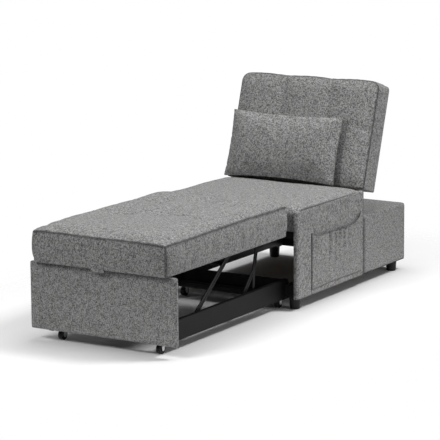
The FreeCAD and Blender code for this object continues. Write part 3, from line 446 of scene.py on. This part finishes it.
# ---------------------------------------------------------------- upholstered boards
def rounded(points, low, high, radius):
    """Pulls the points of a box in to a rounded box."""
    inner = np.clip(points, low + radius, high - radius)
    away = points - inner
    length = np.linalg.norm(away, axis=1)
    biggest = np.abs(away).max(axis=1)
    return inner + away * (biggest / np.maximum(length, 1e-9))[:, None]


def panel(name, low, high, radius, step, body, replaced, seed, swell_by=0.0, seam_and_shade=None, turn=None):
    low, high = np.array(low, float), np.array(high, float)
    unit, quads = lattice_box(high - low, step)
    points = rounded(low + unit * (high - low), low, high, radius)
    piece = new_piece(name, points, quads, seam_and_shade=None if seam_and_shade is None else seam_and_shade(points))
    normal_axis = int(np.argmin(high - low))
    lateral = [a for a in range(3) if a != normal_axis]
    inner = np.ones(len(points))
    for a in lateral:
        inner *= np.clip(4 * unit[:, a] * (1 - unit[:, a]), 0, 1) ** 0.5
    side = np.sign(unit[:, normal_axis] - 0.5)
    ripple = waves(points, 7.0, seed) * 0.0011 + waves(points, 22.0, seed + 1) * 0.0004
    points[:, normal_axis] += side * inner * (swell_by + ripple)
    set_vertices(piece, points)
    refine(piece)
    if turn is not None:
        piece.data.transform(turn)
    return finish_soft(piece, body, *replaced, fill=1.0)


BODY_LOW_Z = 0.0455
REAR_FRONT_Y = 0.5300
REAR_BACK_Y = 0.8915


def side_panels():
    for name, sign in (("right", 1), ("left", -1)):
        low, high = np.array((0.2997, -0.0068, BODY_LOW_Z)), np.array((0.3195, 0.5293, 0.3895))
        unit, quads = lattice_box(high - low, 0.0065)
        points = low + unit * (high - low)
        full = np.clip((points[:, 2] - 0.17) / 0.15, 0, 1)
        z = points[:, 2].copy()
        round_edge(points, 0, 1, high[0], low[1], -1, 1, 0.010, 0.014 + 0.008 * full)
        round_edge(points, 0, 1, high[0], high[1], -1, -1, 0.004, 0.005)
        round_edge(points, 0, 2, high[0], high[2], -1, -1, 0.003, 0.003)
        outer = unit[:, 0] > 0.999
        flat = arch(unit[:, 1], 0.1) * arch(1 - unit[:, 1], 0.1)
        flat = flat * arch(unit[:, 2], 0.08) * arch(1 - unit[:, 2], 0.08)
        crease = 0.0012 * waves(points * (1, 1, 2.2), 9.0, 12 + sign)
        crease = crease + 0.0005 * waves(points, 26.0, 14 + sign)
        points[:, 0] += np.where(outer, flat * (0.0002 + crease), 0)
        points[:, 0] *= sign
        if sign < 0:
            quads = [quad[::-1] for quad in quads]
        joint = near((1 - unit[:, 1]) * 0.536, 0.011)
        hem = np.maximum(near(z - BODY_LOW_Z, 0.002) * outer * 0.3, joint)
        piece = new_piece(f"side_panel_{name}", points, quads, seam_and_shade=hem)
        refine(piece)
        finish_soft(piece, "root", f"side_cover_{name}", fill=1.0)
        x0, x1 = sorted((sign * 0.300, sign * 0.3165))
        panel(
            f"rear_panel_{name}", (x0, REAR_FRONT_Y, BODY_LOW_Z), (x1, REAR_BACK_Y, 0.281), 0.005, 0.010,
            "root", (), 15 + sign, seam_and_shade=lambda p: near(p[:, 1] - REAR_FRONT_Y, 0.012)
        )


side_panels()
panel(
    "rear_top", (-0.3155, 0.5305, 0.268), (0.3155, REAR_BACK_Y, 0.2818), 0.0062, 0.010,
    "root", ("rear_deck_pad",), 31, 0.0015
)
panel(
    "rear_back", (-0.3155, 0.8885, BODY_LOW_Z), (0.3155, 0.8918, 0.276), 0.0015, 0.010,
    "root", ("rear_cover",), 35
)
panel(
    "seat_rear", (-0.3155, 0.5270, 0.2822), (0.3155, 0.5299, 0.386), 0.0014, 0.010,
    "root", ("seat_rear_cover",), 37
)
panel(
    "front_panel", (-0.3180, -0.8678, 0.0428), (0.3180, -0.8500, 0.2960), 0.0040, 0.009,
    "tray", ("front_panel_cover", "front_panel_board"), 41, 0.0010
)


# ---------------------------------------------------------------- backrest, modelled folded and turned up
HINGE = Vector((0.0, 0.539, 0.374))
RAISE = Matrix.Translation(HINGE) @ Matrix.Rotation(math.radians(72.0), 4, "X") @ Matrix.Translation(-HINGE)
BACK_LOW = np.array((-0.319, 0.555, 0.298))
BACK_HIGH = np.array((0.319, 0.994, 0.3945))
BACK_WIDTH, BACK_LENGTH, BACK_DEPTH = 0.638, 0.439, 0.0965
CHANNELS = (-0.107, 0.107)


def backrest():
    unit, quads = lattice_box(BACK_HIGH - BACK_LOW, STEP)
    points = BACK_LOW + unit * (BACK_HIGH - BACK_LOW)
    u, v, w = unit.T
    x, y, z = points.T
    edge_x = np.minimum(u, 1 - u) * BACK_WIDTH
    edge_y = np.minimum(v, 1 - v) * BACK_LENGTH
    face = w > 0.999
    corner_r = 0.020 + 0.016 * w
    far_x = np.maximum(corner_r - edge_x, 0)
    far_y = np.maximum(corner_r - (1 - v) * BACK_LENGTH, 0) * (v > 0.5)
    over = np.maximum(np.maximum(far_x, far_y), 1e-9)
    scale = over / np.maximum(np.hypot(far_x, far_y), 1e-9)
    points[:, 0] += np.sign(0.5 - u) * far_x * (1 - scale)
    points[:, 1] -= far_y * (1 - scale)
    scallop = 0.0016 * np.cos((x / 0.107) * math.pi) * np.clip((v - 0.7) / 0.3, 0, 1)
    points[:, 1] += -0.001 + scallop
    points[:, 2] += w * 0.005 * arch(edge_x, 0.07) * arch(edge_y, 0.07)
    rim = face & ((edge_x < 1e-4) | (edge_y < 1e-4))
    hold = np.zeros(len(points))
    hold[rim] = 0.9
    hold[w < 0.001] = 1.0
    hold[(edge_x < 1e-4) & ~face] = 0.5
    for cx in CHANNELS:
        line = face & (np.abs(x - cx) < STEP * 0.55)
        points[line, 2] -= 0.0010
        hold[line] = 0.5
    hold[v < 0.001] = 1.0
    seam_and_shade = near(np.hypot((1 - w) * BACK_DEPTH, np.minimum(edge_x, edge_y)), 0.0044) * (w > 0.5)
    grooves = [near(x - cx, 0.0026) * face * 0.10 for cx in CHANNELS]
    piece = new_piece("back_cushion", points, quads, seam_and_shade=np.maximum.reduce([seam_and_shade] + grooves))
    swell(piece, hold, 4.0, 0.009, slack=0.01)
    refine(piece)
    piece.data.transform(RAISE)
    return finish_soft(piece, "backrest", "back_cover", "back_foam", fill=0.85)


def pillow():
    low = np.array((-0.302, 0.551, 0.4145))
    high = np.array((0.206, 0.827, 0.4445))
    unit, quads = lattice_box(high - low, STEP)
    points = low + unit * (high - low)
    u, v, w = unit.T
    flat = np.clip(16 * u * (1 - u), 0, 1) * np.clip(16 * v * (1 - v), 0, 1)
    points[:, 2] = 0.4435 + (w - 0.5) * (0.008 + 0.026 * flat)
    points[:, 2] += 0.003 * waves(points, 9.0, 51)
    points[:, 1] -= np.sign(v - 0.5) * 0.010 * np.abs(2 * v - 1) * 4 * u * (1 - u)
    points[:, 0] -= np.sign(u - 0.5) * 0.006 * np.abs(2 * u - 1) * 4 * v * (1 - v)
    edge = np.minimum(np.minimum(u, 1 - u) * 0.476, np.minimum(v, 1 - v) * 0.274)
    seam_and_shade = near(edge, 0.003) * near(w - 0.5, 0.3) * 0.6
    piece = new_piece("lumbar_cushion", points, quads, seam_and_shade=seam_and_shade)
    hold = np.where(edge < 1e-4, 0.35, 0.0)
    swell(piece, hold, 6.0, 0.024, slack=0.03, bending=1.0)
    refine(piece)
    moved = vertices(piece)
    moved[:, 2] = np.clip(moved[:, 2], 0.4035, 0.490)
    set_vertices(piece, moved)
    piece.data.transform(RAISE)
    return finish_soft(piece, "pillow", "lumbar_pillow", fill=0.65)


panel(
    "back_rear", (-0.3075, 0.5665, 0.2955), (0.3075, 0.9825, 0.2985), 0.0012, 0.010,
    "backrest", (), 71, turn=RAISE
)
tab_low, tab_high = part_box("pull_tab")
panel("pull_strap", tab_low, tab_high, 0.0004, 0.004, "pad", ("pull_tab",), 61)
foot_pad()
seat_cushion()
backrest()
pillow()


# ---------------------------------------------------------------- side pocket
POCKET_Y = (0.099, 0.497)
POCKET_Z = (0.065, 0.290)


def mouth_height(t):
    dip = 0.279 - 0.006 * math.sin(math.pi * t)
    return dip + 0.011 * math.exp(-((t / 0.05) ** 2)) + 0.034 * max(0.0, (t - 0.80) / 0.20) ** 1.6


def side_pocket():
    columns, rows = (90, 56)
    points = []
    seam_and_shade = []
    folds = [(0.33, 1.0), (0.44, 0.7), (0.52, 0.9), (0.62, 1.0), (0.72, 0.8)]
    for j in range(rows + 1):
        s = j / rows
        for i in range(columns + 1):
            t = i / columns
            y = POCKET_Y[0] + t * (POCKET_Y[1] - POCKET_Y[0])
            foot = POCKET_Z[0] + 0.004 * math.sin(3 * t)
            z = foot + s * (mouth_height(t) - foot)
            rise = min(1.0, min(t, 1 - t) / 0.10, s / 0.12)
            belly = math.sin(math.pi * 0.5 * rise) * (0.0030 + 0.0055 * s)
            gather = 0.0
            for centre, strength in folds:
                drift = centre + (1 - s) * 0.05 * (centre - 0.5)
                gather -= strength * 0.0085 * math.exp(-(((t - drift) / 0.016) ** 2)) * s ** 1.4
                gather += strength * 0.0034 * math.exp(-(((t - drift - 0.035) / 0.022) ** 2)) * s ** 1.6
            ripple = 0.0012 * noise.noise(Vector((t * 9, s * 3, 4.0)))
            x = 0.3203 + max(0.0, belly + (gather + ripple) * rise) + 0.0006 * s
            points.append((x, y, z))
            sewn = max(near(t, 0.010), near(1 - t, 0.010), near(s, 0.018) * 0.7, near(1 - s, 0.020) * 0.8)
            # Painted shade: the cloth is darkened along the valleys of the gather folds.
            crease_shade = [depth * near(t - c - (1 - s) * 0.05 * (c - 0.5), 0.009) for c, depth in folds]
            seam_and_shade.append(float(max(sewn, max(crease_shade) * s ** 2 * 0.45)))
    width = columns + 1
    quads = [
        (j * width + i, j * width + i + 1, (j + 1) * width + i + 1, (j + 1) * width + i)
        for j in range(rows)
        for i in range(columns)
    ]
    piece = new_piece("pocket", points, quads, seam_and_shade=seam_and_shade)
    thick = piece.modifiers.new("thick", "SOLIDIFY")
    thick.thickness = 0.0016
    thick.offset = 1.0
    bake(piece)
    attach(piece, "root")
    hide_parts("side_pocket")


side_pocket()


# ---------------------------------------------------------------- camera, lights and floor
def orient(right, up, back, where):
    placed = Matrix((right, up, back)).transposed().to_4x4()
    placed.translation = where
    return placed


azimuth, elevation, roll = (math.radians(a) for a in (31.5773, 11.0569, -0.4467))
back = Vector((
    math.sin(azimuth) * math.cos(elevation), -math.cos(azimuth) * math.cos(elevation), math.sin(elevation)
))
level = (-back).cross(Vector((0, 0, 1))).normalized()
upright = level.cross(-back)
right = level * math.cos(roll) + upright * math.sin(roll)
up = upright * math.cos(roll) - level * math.sin(roll)
camera = bpy.data.objects.new("camera", bpy.data.cameras.new("camera"))
camera.data.lens = 199.16
camera.data.sensor_width = 36.0
camera.data.clip_end = 60.0
camera.matrix_world = orient(right, up, back, Vector((4.8347547, -7.91793954, 2.14174109)))
bpy.context.scene.collection.objects.link(camera)
bpy.context.scene.camera = camera


def softbox(name, where, target, size, power):
    lamp = bpy.data.lights.new(name, "AREA")
    lamp.shape = "RECTANGLE"
    lamp.size, lamp.size_y = size
    lamp.energy = power
    holder = bpy.data.objects.new(name, lamp)
    away = (Vector(where) - Vector(target)).normalized()
    side = Vector((0, 0, 1)).cross(away).normalized()
    holder.matrix_world = orient(side, away.cross(side), away, Vector(where))
    bpy.context.scene.collection.objects.link(holder)


softbox("key", (2.3, 0.8, 3.7), (0.0, 0.0, 0.3), (1.1, 1.1), 106.0)
softbox("side", (4.6, -0.2, 1.6), (0.0, 0.1, 0.3), (2.0, 1.2), 34.0)
softbox("top", (-0.2, 0.2, 4.4), (0.1, 0.0, 0.0), (2.6, 2.6), 76.0)
softbox("front", (-0.9, -3.5, 2.9), (0.0, -0.2, 0.3), (1.8, 1.4), 78.0)

world = bpy.data.worlds.new("studio")
bpy.context.scene.world = world
world.use_nodes = True
tree = world.node_tree
background = tree.nodes["Background"]
path = tree.nodes.new("ShaderNodeLightPath")
seen = tree.nodes.new("ShaderNodeMath")
seen.operation = "MAXIMUM"
tree.links.new(path.outputs["Is Camera Ray"], seen.inputs[0])
tree.links.new(path.outputs["Is Transmission Ray"], seen.inputs[1])
strength = tree.nodes.new("ShaderNodeMix")
strength.inputs[2].default_value = 0.15
strength.inputs[3].default_value = 1.0
tree.links.new(seen.outputs[0], strength.inputs[0])
tree.links.new(strength.outputs[0], background.inputs["Strength"])
background.inputs["Color"].default_value = (1, 1, 1, 1)

floor_mesh = bpy.data.meshes.new("floor")
floor_mesh.from_pydata([(-30, -30, 0), (30, -30, 0), (30, 30, 0), (-30, 30, 0)], [], [(0, 1, 2, 3)])
floor = bpy.data.objects.new("floor", floor_mesh)
floor.location.z = -0.0003
bpy.context.scene.collection.objects.link(floor)
floor_shader = Shader("floor", Roughness=0.9)
floor_shader.surface.inputs["Base Color"].default_value = grey(0.92)
floor_shader.surface.inputs["Specular IOR Level"].default_value = 0.0
spread = floor_shader.stretch(floor_shader.place(), (1.0, 0.62, 1.0))
reach = floor_shader.make("ShaderNodeVectorMath", operation="LENGTH")
floor_shader.join(spread, reach.inputs[0])
fade = Sock(floor_shader, reach.outputs["Value"]).sharpen(0.60, 1.10)
clear = floor_shader.make("ShaderNodeBsdfTransparent")
blend = floor_shader.make("ShaderNodeMixShader", {0: fade})
floor_shader.links.new(floor_shader.surface.outputs[0], blend.inputs[1])
floor_shader.links.new(clear.outputs[0], blend.inputs[2])
floor_shader.links.new(blend.outputs[0], floor_shader.nodes["Material Output"].inputs[0])
floor_mesh.materials.append(floor_shader.material)

bpy.context.scene.view_settings.view_transform = "Standard"
